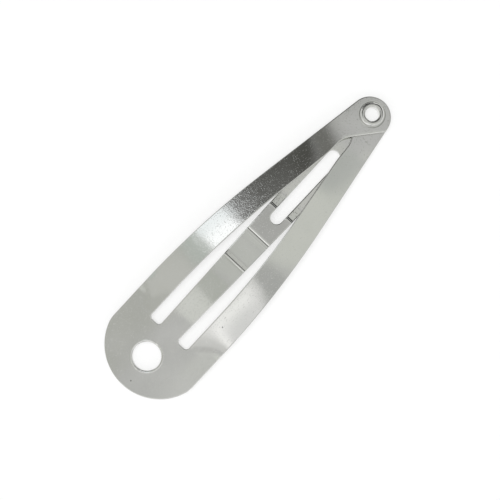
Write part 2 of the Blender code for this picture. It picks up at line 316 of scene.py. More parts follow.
def wave(x, y):
    along = 2 * math.pi * x / WAVE_LENGTH_ALONG
    across = 2 * math.pi * y / WAVE_LENGTH_ACROSS
    return WAVE_HEIGHT * (math.sin(along + math.sin(across)) + math.sin(across + math.sin(along)))


def middle_height(x):
    """Height of the sheet's middle surface: flat heel, arch over the arms, flat ears."""
    bent = min(max(x - flex_x, 0), ear_corner_x - flex_x)
    beyond = max(x - ear_corner_x, 0)
    drop = bent * bent / (2 * ARCH_RADIUS) + beyond * arch_turn
    return SHEET_THICKNESS / 2 + heel_slope * x - drop


def heel_height(x, y):
    return middle_height(x) + wave(x, y)


def arm_axis(x):
    """Distance from the centreline to the middle of an arm."""
    root = (half_width + arm_inner_half) / 2
    ear = (taper_half_at_tip + (tip_centre_x - ear_corner_x) * math.tan(taper_angle) + bite_half) / 2
    share = min(max((x - SIDE_BEND_FROM_HEEL_END) / (ear_corner_x - SIDE_BEND_FROM_HEEL_END), 0), 1)
    return root + (ear - root) * share


def arm_height(x, y, side):
    """An arm twists its outer edge down, from a slanting start, and its ear lies half a layer off."""
    lift = side * layer_step / 2 * smooth_step(x, ear_corner_x - EAR_LIFT_LENGTH, ear_corner_x)
    from_axis = side * y - arm_axis(x)
    rise_end_x = flex_x + TWIST_RISE_LENGTH
    lag = TWIST_RISE_SKEW * from_axis * (1 - smooth_step(x, flex_x, rise_end_x))
    rise = smooth_step(x - lag, flex_x, rise_end_x)
    fade = smooth_step(x, ear_corner_x - TWIST_FADE_LENGTH, ear_corner_x + TWIST_FADE_PAST_CORNER)
    turn = math.tan(ARM_TWIST) * from_axis + from_axis * from_axis / (2 * CUP_RADIUS)
    return middle_height(x) + wave(x, y) + lift - turn * rise * (1 - fade)


def left_arm_height(x, y):
    return arm_height(x, y, 1)


def right_arm_height(x, y):
    return arm_height(x, y, -1)


def tongue_height(x, y):
    """The tongue follows the arch, steps down at its grip, and dips under the arms."""
    run_start_x = dip_start_x + DIP_STEP_LENGTH
    run_end_x = run_start_x + DIP_RUN_LENGTH
    grip_in = eased_ramp(x, grip_start_x, grip_start_x + JOGGLE_LENGTH)
    grip_out = eased_ramp(x, grip_end_x - JOGGLE_LENGTH, grip_end_x)
    step = eased_ramp(x, dip_start_x, run_start_x)
    run = eased_ramp(x, run_start_x, run_end_x, CREASE_BEND, SOFT_BEND)
    settle = smooth_step(x, run_end_x, tongue_slot_end_x)
    kept = GRIP_DEPTH * (1 - GRIP_RISE_SHARE)
    drop = GRIP_DEPTH * (grip_in - GRIP_RISE_SHARE * grip_out) + DIP_STEP * step
    drop += (DIP_DEPTH - DIP_STEP) * run + (layer_step * 3 / 2 - DIP_DEPTH - kept) * settle
    return middle_height(x) + wave(x, y) - drop


def coined_lines():
    """Place, width and height of each line across the tongue. Grooves have a negative height."""
    second_x = grip_end_x - SECOND_LINE_BEFORE_GRIP_END
    return [
        (grip_start_x, STRONG_LINE_WIDTH, STRONG_LINE_HEIGHT),
        (grip_start_x + JOGGLE_LENGTH, FAINT_LINE_WIDTH, FAINT_LINE_HEIGHT),
        (second_x - FAINT_LINE_BEFORE_SECOND, FAINT_LINE_WIDTH, FAINT_LINE_HEIGHT),
        (second_x, SECOND_LINE_WIDTH, -SECOND_LINE_HEIGHT),
        (dip_start_x, FAINT_LINE_WIDTH, DIP_LINE_HEIGHT),
    ]


def coined(x, y, level):
    """Height of the coined lines over the tongue's top."""
    if level <= 0:
        return 0
    return sum(height * hump(x - place, width) for place, width, height in coined_lines())


def hump(offset, width):
    """1 at a line's middle, falling smoothly to 0 at half its width."""
    off_line = min(abs(offset) / (width / 2), 1)
    return (1 + math.cos(math.pi * off_line)) / 2


def plain(x, y, level):
    return 0


def upper_ear(x, y, level):
    """The upper ear's slanting edge is drawn down, and the setting tool leaves a shallow ring."""
    if level <= 0:
        return 0
    off_ring = math.hypot(x - rivet_x, y - EYELET_OFF_CENTRE) - PRESS_RING_RADIUS
    from_edge = (x - ear_cross_x) * math.sin(EAR_EDGE_ANGLE) + y * math.cos(EAR_EDGE_ANGLE)
    nearness = min(max(1 - from_edge / EAR_ROLL_WIDTH, 0), 1)
    fade_in = smooth_step(x, ear_corner_x, ear_corner_x + EAR_ROLL_FADE)
    drawn = EAR_ROLL_DEPTH * nearness * nearness * fade_in
    return -PRESS_RING_DEPTH * hump(off_ring, PRESS_RING_WIDTH) - drawn


def hole_burr(x, y, level):
    """The punch leaves a slight burr round the heel's hole."""
    burr_radius = HEEL_HOLE_DIAMETER / 2 + HOLE_ROLL + BURR_WIDTH / 2
    off_burr = math.hypot(x - HEEL_HOLE_FROM_END, y - HEEL_HOLE_OFF_CENTRE) - burr_radius
    return BURR_HEIGHT * hump(off_burr, BURR_WIDTH) if level > 0 else 0


def mirrored(loop):
    return [(x, -y) for x, y in reversed(loop)]


def edge_loop(points, roll=EDGE_ROLL, flat=FLAT_BESIDE_ROLL, rings=1):
    """An outline with the metal on its left, its sheared edge's roll and the flat rings beside it."""
    return {"points": points, "roll": roll, "flat": flat, "rings": rings}


def heel_end():
    """The heel's round end with an eased corner to each straight side, from left to right."""
    corner_y = half_width - HEEL_CORNER_RADIUS
    back = math.sqrt((heel_radius - HEEL_CORNER_RADIUS) ** 2 - corner_y ** 2)
    corner_x = heel_radius - back
    turn = math.atan2(corner_y, -back)
    left = arc(corner_x, corner_y, HEEL_CORNER_RADIUS, math.pi / 2, turn)
    rear = arc(heel_radius, 0, heel_radius, turn, 2 * math.pi - turn)
    right = arc(corner_x, -corner_y, HEEL_CORNER_RADIUS, 2 * math.pi - turn, 3 * math.pi / 2)
    return left[:-1] + rear + right[1:]


def slot_notch(start_y, end_y):
    """End of a slot with two rounded corners, open at the flex line."""
    return rounded([
        (flex_x, start_y, 0),
        (SLOT_END_FROM_HEEL_END, start_y, SLOT_CORNER_RADIUS),
        (SLOT_END_FROM_HEEL_END, end_y, SLOT_CORNER_RADIUS),
        (flex_x, end_y, 0),
    ])


def heel_loops():
    """Round heel, straight sides, and the slots' ends cut into the flex line."""
    notch_right = slot_notch(SLOTS_OFF_CENTRE - arm_inner_half, SLOTS_OFF_CENTRE - tongue_root_half)
    notch_left = slot_notch(SLOTS_OFF_CENTRE + tongue_root_half, SLOTS_OFF_CENTRE + arm_inner_half)
    outline = heel_end() + [(flex_x, -half_width)] + notch_right + notch_left + [(flex_x, half_width)]
    hole = circle(HEEL_HOLE_FROM_END, HEEL_HOLE_OFF_CENTRE, HEEL_HOLE_DIAMETER / 2)[::-1]
    burred = BURR_WIDTH + BURR_MARGIN
    return [edge_loop(outline), edge_loop(hole, roll=HOLE_ROLL, flat=burred, rings=BURR_RINGS)]


def arm_loops(root_half, bend_x, bite, ear_half, hole_y):
    """Inner edge, the ear's slanting edge, the round tip, and back along the outer edge."""
    corner_x = ear_cross_x - ear_half / math.tan(EAR_EDGE_ANGLE)
    ear_sink = taper_half_at_tip + (tip_centre_x - ear_cross_x) * math.tan(taper_angle)
    ear_run = ear_sink / (math.tan(EAR_EDGE_ANGLE) + math.tan(taper_angle))
    tangent_angle = math.pi / 2 - taper_angle
    tip = arc(tip_centre_x, 0, TIP_RADIUS, -tangent_angle, tangent_angle)
    inner = rounded([
        (flex_x, root_half, 0),
        (bend_x, root_half, INNER_BEND_RADIUS),
        (bite_corner_x, bite, BITE_BLEND_RADIUS),
        (corner_x, ear_half, EAR_FILLET_RADIUS),
        (ear_cross_x + ear_run, -ear_run * math.tan(EAR_EDGE_ANGLE), 0),
    ])
    outer = rounded([
        (*tip[-1], 0),
        (SIDE_BEND_FROM_HEEL_END, half_width, SIDE_BEND_RADIUS),
        (flex_x, half_width, 0),
    ])
    hole = circle(rivet_x, hole_y, ear_hole_radius)[::-1]
    pressed = PRESSED_FIELD_RADIUS - ear_hole_radius - EDGE_ROLL
    outline = edge_loop(inner + tip + outer[1:], flat=EAR_ROLL_WIDTH - EDGE_ROLL, rings=EAR_ROLL_RINGS)
    return [outline, edge_loop(hole, flat=pressed, rings=PRESSED_RINGS)]


def left_arm_loops():
    root_half = arm_inner_half + SLOTS_OFF_CENTRE
    return arm_loops(root_half, LEFT_INNER_BEND_FROM_HEEL_END, bite_half, bite_half, EYELET_OFF_CENTRE)


def right_arm_loops():
    root_half = arm_inner_half - SLOTS_OFF_CENTRE
    bend_x = RIGHT_INNER_BEND_FROM_HEEL_END
    loops = arm_loops(root_half, bend_x, RIGHT_BITE_HALF, RIGHT_EAR_HALF, -EYELET_OFF_CENTRE)
    return [{**loop, "points": mirrored(loop["points"])} for loop in loops]


def tongue_loops():
    """A strip that widens towards its round tip, with a long round-ended slot."""
    slot_radius = TONGUE_SLOT_WIDTH / 2
    far_radius = slot_radius + TONGUE_SLOT_FLARE
    tip_half = tongue_tip_half + TONGUE_TIP_SPREAD
    quarter = math.pi / 2
    outline = rounded([
        (flex_x, SLOTS_OFF_CENTRE - tongue_root_half, 0),
        (tongue_tip_x, TONGUE_TIP_OFF_CENTRE - tip_half, TONGUE_TIP_RADIUS),
        (tongue_tip_x, TONGUE_TIP_OFF_CENTRE + tip_half, TONGUE_TIP_RADIUS),
        (flex_x, SLOTS_OFF_CENTRE + tongue_root_half, 0),
    ])
    near_end = arc(tongue_slot_start_x + slot_radius, 0, slot_radius, quarter, 3 * quarter)
    far_end = arc(tongue_slot_end_x - far_radius, 0, far_radius, -quarter, quarter)
    slot = (near_end + far_end)[::-1]
    return [edge_loop(outline), edge_loop(slot)]


def on_seam(a, b):
    """True for an edge along the flex line, where two sheets meet without an edge of their own."""
    return abs(a[0] - flex_x) < SAME_PLACE and abs(b[0] - flex_x) < SAME_PLACE


def corner_shift(normal_a, normal_b, seam_a, seam_b):
    """Move of a corner when each of its two edges shifts by one along its normal, seams by none."""
    dot = normal_a.dot(normal_b)
    if seam_a and not seam_b:
        return (normal_b - dot * normal_a) / (1 - dot * dot)
    if seam_b and not seam_a:
        return (normal_a - dot * normal_b) / (1 - dot * dot)
    return (normal_a + normal_b) / (1 + dot)


def inset(points, distance):
    """The loop moved into the metal, which lies to the left of its edges."""
    count = len(points)
    normals = []
    seams = []
    for i in range(count):
        a, b = points[i], points[(i + 1) % count]
        normals.append(Vector((a[1] - b[1], b[0] - a[0])).normalized())
        seams.append(on_seam(a, b))
    shifts = [corner_shift(normals[i - 1], normals[i], seams[i - 1], seams[i]) for i in range(count)]
    return [Vector(point) + shift * distance for point, shift in zip(points, shifts)]


def grid_lines(start, end, extra=()):
    """Cut places at a regular step, left out beside the extra ones."""
    count = math.ceil((end - start) / GRID_STEP)
    regular = [start + (end - start) * i / count for i in range(1, count)]
    clear = [x for x in regular if all(abs(x - other) > GRID_CLEARANCE for other in extra)]
    return sorted(clear + [x for x in extra if start < x < end])


def field_border(loops):
    """The loops moved in to where the sheared edges begin. Each vertex keeps its loop's number."""
    bm = bmesh.new()
    number = bm.verts.layers.float.new("loop")
    for index, loop in enumerate(loops):
        verts = []
        for x, y in inset(loop["points"], loop["roll"] + loop["flat"]):
            vert = bm.verts.new((x, y, 0))
            vert[number] = index
            verts.append(vert)
        for vert, following in zip(verts, verts[1:] + verts[:1]):
            bm.edges.new((vert, following))
    return bm


def cut_field(bm, axis, cuts):
    """Cuts the flat mesh across X (axis 0) or across Y (axis 1) at each place."""
    normal = [0, 0, 0]
    normal[axis] = 1
    for cut in cuts:
        place = [0, 0, 0]
        place[axis] = cut
        everything = bm.verts[:] + bm.edges[:] + bm.faces[:]
        bmesh.ops.bisect_plane(bm, geom=everything, dist=ON_LINE, plane_co=place, plane_no=normal)


def flat_field(loops, cuts_x, cuts_y):
    """The sheet's flat inside, as a grid of faces that ends short of the sheared edges."""
    bm = field_border(loops)
    bmesh.ops.triangle_fill(bm, edges=bm.edges[:], use_beauty=True, normal=(0, 0, 1))
    cut_field(bm, 0, cuts_x)
    cut_field(bm, 1, cuts_y)
    inner = [edge for edge in bm.edges if not edge.is_boundary]
    between = [edge for edge in inner if not on_cut(edge, cuts_x, cuts_y)]
    bmesh.ops.dissolve_edges(bm, edges=between, use_verts=False)
    bmesh.ops.recalc_face_normals(bm, faces=bm.faces[:])
    if bm.faces[:][0].normal.z < 0:
        bmesh.ops.reverse_faces(bm, faces=bm.faces[:])
    return bm


def on_cut(edge, cuts_x, cuts_y):
    """True for an edge that lies along one of the grid's cuts."""
    a, b = (vert.co for vert in edge.verts)
    for axis, cuts in ((0, cuts_x), (1, cuts_y)):
        middle = (a[axis] + b[axis]) / 2
        if abs(a[axis] - b[axis]) < 2 * ON_LINE and any(abs(middle - cut) < 2 * ON_LINE for cut in cuts):
            return True
    return False


def roll_profile(loop):
    """Outward reach and level of each ring, over the rolled edge and down to the underside."""
    top = SHEET_THICKNESS / 2
    rings = [(loop["flat"] * (i + 1) / loop["rings"], top) for i in range(loop["rings"])]
    for i in range(1, ROLL_RINGS + 1):
        angle = math.pi / 2 * i / ROLL_RINGS
        drop = loop["roll"] * ROLL_DEPTH_SHARE * (1 - math.cos(angle))
        rings.append((loop["flat"] + loop["roll"] * math.sin(angle), top - drop))
    wall = loop["flat"] + loop["roll"]
    for i in range(UNDER_RINGS + 1):
        angle = math.pi / 2 * i / UNDER_RINGS
        reach = wall - UNDER_ROLL * (1 - math.cos(angle))
        rings.append((reach, UNDER_ROLL * (1 - math.sin(angle)) - top))
    return rings


def outward_of(edge):
    """Direction in the plane, square to a border edge and away from its face."""
    a, b = (vert.co for vert in edge.verts)
    normal = Vector((a.y - b.y, b.x - a.x)).normalized()
    towards_face = edge.link_faces[0].calc_center_median() - (a + b) / 2
    return normal if normal.dot(towards_face.xy) < 0 else -normal


def rim_vert(bm, vert, shift, reach, level):
    return bm.verts.new((vert.co.x + shift.x * reach, vert.co.y + shift.y * reach, level))


def add_rim(bm, loop, index, under):
    """Rings of faces from the top's border round the sheared edge to the underside's border."""
    number = bm.verts.layers.float["loop"]
    border = [edge for edge in bm.edges if edge.is_boundary
              and all(round(vert[number]) == index and vert in under for vert in edge.verts)]
    rim = [edge for edge in border if not on_seam(*(vert.co for vert in edge.verts))]
    shifts = {}
    for vert in {vert for edge in rim for vert in edge.verts}:
        a, b = [edge for edge in vert.link_edges if edge in border]
        shifts[vert] = corner_shift(outward_of(a), outward_of(b), a not in rim, b not in rim)
    turns = [(edge.verts[0], edge.verts[1]) for edge in rim]
    ring = {vert: vert for vert in shifts}
    rings = []
    for reach, level in roll_profile(loop):
        rings.append({vert: rim_vert(bm, vert, shift, reach, level) for vert, shift in shifts.items()})
    rings.append({vert: under[vert] for vert in shifts})
    for following in rings:
        for a, b in turns:
            bm.faces.new((ring[a], ring[b], following[b], following[a]))
        ring = following


def sheet_mesh(loops, cuts_x, height, relief=plain):
    """A closed sheet with rolled edges, bent square to its middle surface."""
    cuts_y = grid_lines(-half_width, half_width)
    bm = flat_field(loops, cuts_x, cuts_y)
    copied = bmesh.ops.duplicate(bm, geom=bm.verts[:] + bm.edges[:] + bm.faces[:])
    twins = copied["vert_map"]
    lower_faces = [item for item in copied["geom"] if isinstance(item, bmesh.types.BMFace)]
    bmesh.ops.reverse_faces(bm, faces=lower_faces)
    doubled = {item for item in copied["geom"] if isinstance(item, bmesh.types.BMVert)}
    tops = [vert for vert in bm.verts if vert not in doubled]
    under = {vert: twins[vert] for vert in tops}
    for vert in tops:
        vert.co.z = SHEET_THICKNESS / 2
        under[vert].co.z = -SHEET_THICKNESS / 2
    for index, loop in enumerate(loops):
        add_rim(bm, loop, index, under)
    bmesh.ops.holes_fill(bm, edges=[edge for edge in bm.edges if edge.is_boundary], sides=0)
    bmesh.ops.recalc_face_normals(bm, faces=bm.faces[:])
    for vert in bm.verts:
        x, y, level = vert.co
        vert.co = bent_point(height, x, y, level + relief(x, y, level))
    return bm


def bent_point(height, x, y, level):
    """Point at a level over the bent middle surface, measured square to it."""
    slope_x = (height(x + SLOPE_PROBE, y) - height(x - SLOPE_PROBE, y)) / (2 * SLOPE_PROBE)
    slope_y = (height(x, y + SLOPE_PROBE) - height(x, y - SLOPE_PROBE)) / (2 * SLOPE_PROBE)
    normal = Vector((-slope_x, -slope_y, 1)).normalized()
    return Vector((x, y, height(x, y))) + normal * level


def lip_point(angle, height):
    """Radius and height on a lip that rolls tightly out of the bore and slants down outside."""
    curve = INNER_LIP_CURVE if math.cos(angle) > 0 else OUTER_LIP_CURVE
    across = math.copysign(abs(math.cos(angle)) ** curve, math.cos(angle))
    return lip_centre_radius - (lip_radius + LIP_SPREAD) * across, height * abs(math.sin(angle)) ** curve


def eyelet_mesh():
    """Turned tube with a rolled lip over each side of the two ears, tilted as the ears are."""
    turns = [math.pi * i / LIP_SEGMENTS for i in range(LIP_SEGMENTS + 1)]
    upper = [(r, seat_height + z) for r, z in (lip_point(a, UPPER_LIP_HEIGHT) for a in turns)]
    lower = [(r, -seat_height - z) for r, z in (lip_point(a, LOWER_LIP_HEIGHT) for a in reversed(turns))]
    profile = upper + [(barrel_radius, seat_height), (barrel_radius, -seat_height)] + lower
    bm = bmesh.new()
    verts = [bm.verts.new((radius, 0, z)) for radius, z in profile]
    edges = [bm.edges.new(pair) for pair in zip(verts, verts[1:] + verts[:1])]
    bmesh.ops.spin(bm, geom=verts + edges, cent=(0, 0, 0), axis=(0, 0, 1), angle=2 * math.pi,
                   steps=EYELET_SEGMENTS, use_merge=True)
    bmesh.ops.recalc_face_normals(bm, faces=bm.faces[:])
    tilt = math.atan(ear_slope)
    for vert in bm.verts:
        x, z = vert.co.x, vert.co.z
        vert.co.x = rivet_x + x * math.cos(tilt) - z * math.sin(tilt)
        vert.co.y += EYELET_OFF_CENTRE
        vert.co.z = middle_height(rivet_x) + x * math.sin(tilt) + z * math.cos(tilt)
    return bm


def add_piece(name, bm, material):
    """Object whose mesh lies where the frame has it, shaded smooth up to its square edges."""
    for vert in bm.verts:
        vert.co.x += cad_low.x
    mesh = bpy.data.meshes.new(name)
    bm.to_mesh(mesh)
    bm.free()
    mesh.shade_smooth()
    mesh.set_sharp_from_angle(angle=SHARP_ANGLE)
    mesh.materials.append(material)
    piece = bpy.data.objects.new(name, mesh)
    bpy.context.scene.collection.objects.link(piece)
    return piece


# Finish of the plated steel, rolled along X and worn by handling
BLANK_TONE_LOW = (0.68, 0.685, 0.655, 1)
BLANK_TONE_HIGH = (0.735, 0.735, 0.71, 1)
EYELET_TONE_LOW = (0.74, 0.74, 0.71, 1)
EYELET_TONE_HIGH = (0.82, 0.82, 0.80, 1)
CLOUD_SIZE = 0.006
GRAIN_SIZE = 0.00016
STREAK_LENGTH = 0.004
STREAK_WIDTH = 0.00006
GRAIN_HEIGHT = 0.0000006
SPECK_SIZE = 0.00016
SPECK_ROUGHNESS = 0.2
PIT_SPACING = 0.0022
PIT_SIZE_SHARE = 0.035
SHEARED_TONE_SHARE = 0.7
SHEARED_ROUGHNESS = 0.35
BLANK_ROUGHNESS = (0.03, 0.08)
EYELET_ROUGHNESS = (0.05, 0.1)
STREAK_HEIGHT_SHARE = 0.3
WORN_GRAIN_SIZE = 0.00014
WORN_GRAIN_SHARE = 3.2

# Worn bands of the left arm and dark spots of the blank, by their places from the heel's end
WORN_BANDS = [
    {"from": 0.0192, "peak": 0.0209, "to": 0.0226},
    {"from": 0.0240, "peak": 0.0274, "to": 0.040},
]
WORN_FROM_CENTRELINE = 0.001
# Two small dark spots that only darken the upper face's colour; the mesh has no hollow there
DARK_SPOTS = [
    {"from_heel_end": 0.00114, "from_centreline": -0.0005},
    {"from_heel_end": 0.01437, "from_centreline": -0.00448},
]
DARK_SPOT_RADIUS = 0.00011
DARK_SPOT_TONE_SHARE = 0.25

# Stretch of each pattern's own values over which its effect comes or goes
CLOUD_TONE_RANGE = (0.35, 0.65)
STREAK_RANGE = (0.35, 0.7)
DULLNESS_RANGE = (0.3, 0.7)
SPECK_RANGE = (0.66, 0.74)
WORN_GRAIN_RANGE = (0.54, 0.7)
WALL_LEVELNESS_RANGE = (0.15, 0.45)
UPPER_FACE_RANGE = (0.4, 0.6)


def add_node(tree, kind, sockets=None, **settings):
    """A shader node with its settings and inputs, which are values or other nodes' outputs."""
    node = tree.nodes.new(kind)
    for name, value in settings.items():
        setattr(node, name, value)
    for name, value in (sockets or {}).items():
        if isinstance(value, bpy.types.NodeSocket):
            tree.links.new(value, node.inputs[name])
        else:
            node.inputs[name].default_value = value
    return node


def math_of(tree, operation, a, b=0.0):
    return add_node(tree, "ShaderNodeMath", {0: a, 1: b}, operation=operation).outputs[0]


def range_of(tree, value, low, high, to_low=0.0, to_high=1.0, smooth=False):
    """The value's place between low and high, moved to another range and held at its ends."""
    sockets = {"Value": value, "From Min": low, "From Max": high, "To Min": to_low, "To Max": to_high}
    kind = "SMOOTHSTEP" if smooth else "LINEAR"
    return add_node(tree, "ShaderNodeMapRange", sockets, interpolation_type=kind).outputs["Result"]


def mix_of(tree, share, first, second):
    """Number between two others, by share."""
    return add_node(tree, "ShaderNodeMix", {0: share, 2: first, 3: second}, data_type="FLOAT").outputs[0]


def noise_of(tree, coordinates, detail, length, width=None):
    """Cloudy noise whose blobs are as long along X and as wide as said, or else round."""
    across = 1 / (width or length)
    sockets = {"Vector": coordinates, "Scale": (1 / length, across, across)}
    mapping = add_node(tree, "ShaderNodeMapping", sockets)
    sockets = {"Vector": mapping.outputs["Vector"], "Scale": 1.0, "Detail": detail}
    return add_node(tree, "ShaderNodeTexNoise", sockets).outputs["Fac"]


def upward_share(tree):
    """1 where the surface faces up, 0 on walls and -1 where it faces down."""
    normal = add_node(tree, "ShaderNodeTexCoord").outputs["Normal"]
    return add_node(tree, "ShaderNodeSeparateXYZ", {"Vector": normal}).outputs["Z"]


def sheared_share(tree):
    """1 on walls that stand square to the sheet, and 0 on its faces."""
    levelness = math_of(tree, "ABSOLUTE", upward_share(tree))
    return range_of(tree, levelness, *WALL_LEVELNESS_RANGE, 1, 0, smooth=True)


def worn_share(tree, place):
    """1 at the peak of each worn band of the left arm, falling to 0 along it and inwards."""
    parts = add_node(tree, "ShaderNodeSeparateXYZ", {"Vector": place}).outputs
    along = 0.0
    for band in WORN_BANDS:
        first, peak, last = (cad_low.x + band[name] for name in ("from", "peak", "to"))
        rise = range_of(tree, parts["X"], first, peak, smooth=True)
        fall = range_of(tree, parts["X"], peak, last, 1, 0)
        along = math_of(tree, "ADD", math_of(tree, "MULTIPLY", rise, fall), along)
    side = range_of(tree, parts["Y"], WORN_FROM_CENTRELINE, 2 * WORN_FROM_CENTRELINE)
    return math_of(tree, "MULTIPLY", along, side)


def small_pit_share(tree, place):
    """1 in small pits that lie scattered over the metal, and 0 between them."""
    cells = add_node(tree, "ShaderNodeTexVoronoi", {"Vector": place, "Scale": 1 / PIT_SPACING})
    return range_of(tree, cells.outputs["Distance"], 0, PIT_SIZE_SHARE, 1, 0, smooth=True)


def dark_spot_share(tree, place):
    """1 in the two dark spots of the blank's upper face, and 0 elsewhere."""
    sockets = {0: place, 1: (1, 1, 0)}
    flat = add_node(tree, "ShaderNodeVectorMath", sockets, operation="MULTIPLY").outputs[0]
    share = 0.0
    for spot in DARK_SPOTS:
        sockets = {0: flat, 1: (cad_low.x + spot["from_heel_end"], spot["from_centreline"], 0)}
        gap = add_node(tree, "ShaderNodeVectorMath", sockets, operation="DISTANCE").outputs["Value"]
        inside = range_of(tree, gap, DARK_SPOT_RADIUS / 2, DARK_SPOT_RADIUS, 1, 0, smooth=True)
        share = math_of(tree, "ADD", inside, share)
    upper = range_of(tree, upward_share(tree), *UPPER_FACE_RANGE)
    return math_of(tree, "MULTIPLY", share, upper)


def steel_tone(tree, place, clouds, walls, tones, sheared):
    """Cloudy tone between two, duller on the sheared walls and darker in the two dark spots."""
    sockets = {0: range_of(tree, clouds, *CLOUD_TONE_RANGE), 6: tones[0], 7: tones[1]}
    tone = add_node(tree, "ShaderNodeMix", sockets, data_type="RGBA").outputs[2]
    # Darker colour in the two dark spots of the upper face
    spotted = math_of(tree, "MULTIPLY", dark_spot_share(tree, place), sheared)
    dulled = mix_of(tree, spotted, mix_of(tree, walls, 1, SHEARED_TONE_SHARE), DARK_SPOT_TONE_SHARE)
    sockets = {0: tone, "Scale": dulled}
    return add_node(tree, "ShaderNodeVectorMath", sockets, operation="SCALE").outputs["Vector"]


def steel_roughness(tree, place, clouds, streaks, pits, walls, limits):
    """Roughness by clouds and streaks between two limits, with dull specks, pits and walls."""
    specks = range_of(tree, noise_of(tree, place, 0, SPECK_SIZE), *SPECK_RANGE, smooth=True)
    dull = mix_of(tree, clouds, range_of(tree, streaks, *STREAK_RANGE), clouds)
    roughness = range_of(tree, dull, *DULLNESS_RANGE, *limits)
    roughness = mix_of(tree, math_of(tree, "MAXIMUM", specks, pits), roughness, SPECK_ROUGHNESS)
    return mix_of(tree, walls, roughness, SHEARED_ROUGHNESS)


def steel_normal(tree, place, streaks, pits, sheared):
    """Fine grain, streaks and pits, and sparse grains where the left arm is worn."""
    relief = math_of(tree, "SUBTRACT", noise_of(tree, place, 1, GRAIN_SIZE), pits)
    relief = math_of(tree, "ADD", relief, math_of(tree, "MULTIPLY", streaks, STREAK_HEIGHT_SHARE))
    worn = math_of(tree, "MULTIPLY", worn_share(tree, place), WORN_GRAIN_SHARE * sheared)
    grains = range_of(tree, noise_of(tree, place, 0, WORN_GRAIN_SIZE), *WORN_GRAIN_RANGE, smooth=True)
    relief = math_of(tree, "ADD", relief, math_of(tree, "MULTIPLY", worn, grains))
    sockets = {"Height": relief, "Strength": 1.0, "Distance": GRAIN_HEIGHT}
    return add_node(tree, "ShaderNodeBump", sockets).outputs["Normal"]


def plated_steel(name, tones, roughness_limits, sheared):
    """Bright plated steel, with the sheared blank's walls, worn grain and dark spots if sheared is 1."""
    material = bpy.data.materials.new(name)
    material.use_nodes = True
    tree = material.node_tree
    shader = tree.nodes["Principled BSDF"]
    shader.inputs["Metallic"].default_value = 1
    place = add_node(tree, "ShaderNodeTexCoord").outputs["Object"]
    clouds = noise_of(tree, place, 3, CLOUD_SIZE)
    streaks = noise_of(tree, place, 2, STREAK_LENGTH, STREAK_WIDTH)
    pits = small_pit_share(tree, place)
    walls = math_of(tree, "MULTIPLY", sheared_share(tree), sheared)
    tone = steel_tone(tree, place, clouds, walls, tones, sheared)
    roughness = steel_roughness(tree, place, clouds, streaks, pits, walls, roughness_limits)
    tree.links.new(tone, shader.inputs["Base Color"])
    tree.links.new(roughness, shader.inputs["Roughness"])
    tree.links.new(steel_normal(tree, place, streaks, pits, sheared), shader.inputs["Normal"])
    return material


blank_steel = plated_steel("blank_steel", (BLANK_TONE_LOW, BLANK_TONE_HIGH), BLANK_ROUGHNESS, 1.0)
eyelet_steel = plated_steel("eyelet_steel", (EYELET_TONE_LOW, EYELET_TONE_HIGH), EYELET_ROUGHNESS, 0.0)


def crease_cuts():
    """Fine cuts across each line and bend of the tongue."""
    lines = coined_lines() + [(dip_start_x + DIP_STEP_LENGTH, 2 * CREASE_BEND, 0)]
    return [place + width * (i / LINE_CUTS - 1 / 2)
            for place, width, height in lines for i in range(LINE_CUTS + 1)]


def build_pieces():
    heel_cuts = grid_lines(0, flex_x)
    arm_cuts = grid_lines(flex_x, CLIP_LENGTH, [ear_corner_x])
    tongue_cuts = grid_lines(flex_x, tongue_tip_x, crease_cuts())
    heel_bm = sheet_mesh(heel_loops(), heel_cuts, heel_height, hole_burr)
    left_bm = sheet_mesh(left_arm_loops(), arm_cuts, left_arm_height, upper_ear)
    right_bm = sheet_mesh(right_arm_loops(), arm_cuts, right_arm_height)
    tongue_bm = sheet_mesh(tongue_loops(), tongue_cuts, tongue_height, coined)
    heel = add_piece("heel_sheet", heel_bm, blank_steel)
    left = add_piece("left_arm_sheet", left_bm, blank_steel)
    right = add_piece("right_arm_sheet", right_bm, blank_steel)
    tongue = add_piece("tongue_sheet", tongue_bm, blank_steel)
    eyelet = add_piece("eyelet_ring", eyelet_mesh(), eyelet_steel)

    flex_start = (cad_low.x + flex_x, 0, middle_height(flex_x))
    flex_end = (cad_low.x + flex_x + FLEX_STRETCH, 0, middle_height(flex_x))
    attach(heel, "heel")
    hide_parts("heel_plate")
    for piece, node in ((left, "left_arm"), (right, "right_arm")):
        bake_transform(piece, "heel", "arms", start=flex_start, end=flex_end)
        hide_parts(node)
    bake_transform(tongue, "heel", "tongue", start=flex_start, end=flex_end)
    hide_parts("tongue")
    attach(eyelet, "arms")
    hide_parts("eyelet")


build_pieces()

def soft_panel(name, x, y, soft, colour, skew=0):
    """Panel by its edges and softness along X and along Y, and the lean of its X edges over Y."""
    return {"name": name, "x": x, "y": y, "soft": soft, "colour": colour, "skew": skew}


def round_card(name, azimuth, zenith, spread, soft, level):
    """Grey card by the azimuth of its middle from X, its angle from straight up, and its radius."""
    place = {"azimuth": azimuth, "zenith": zenith}
    return {"name": name, **place, "spread": spread, "soft": soft, "level": level}


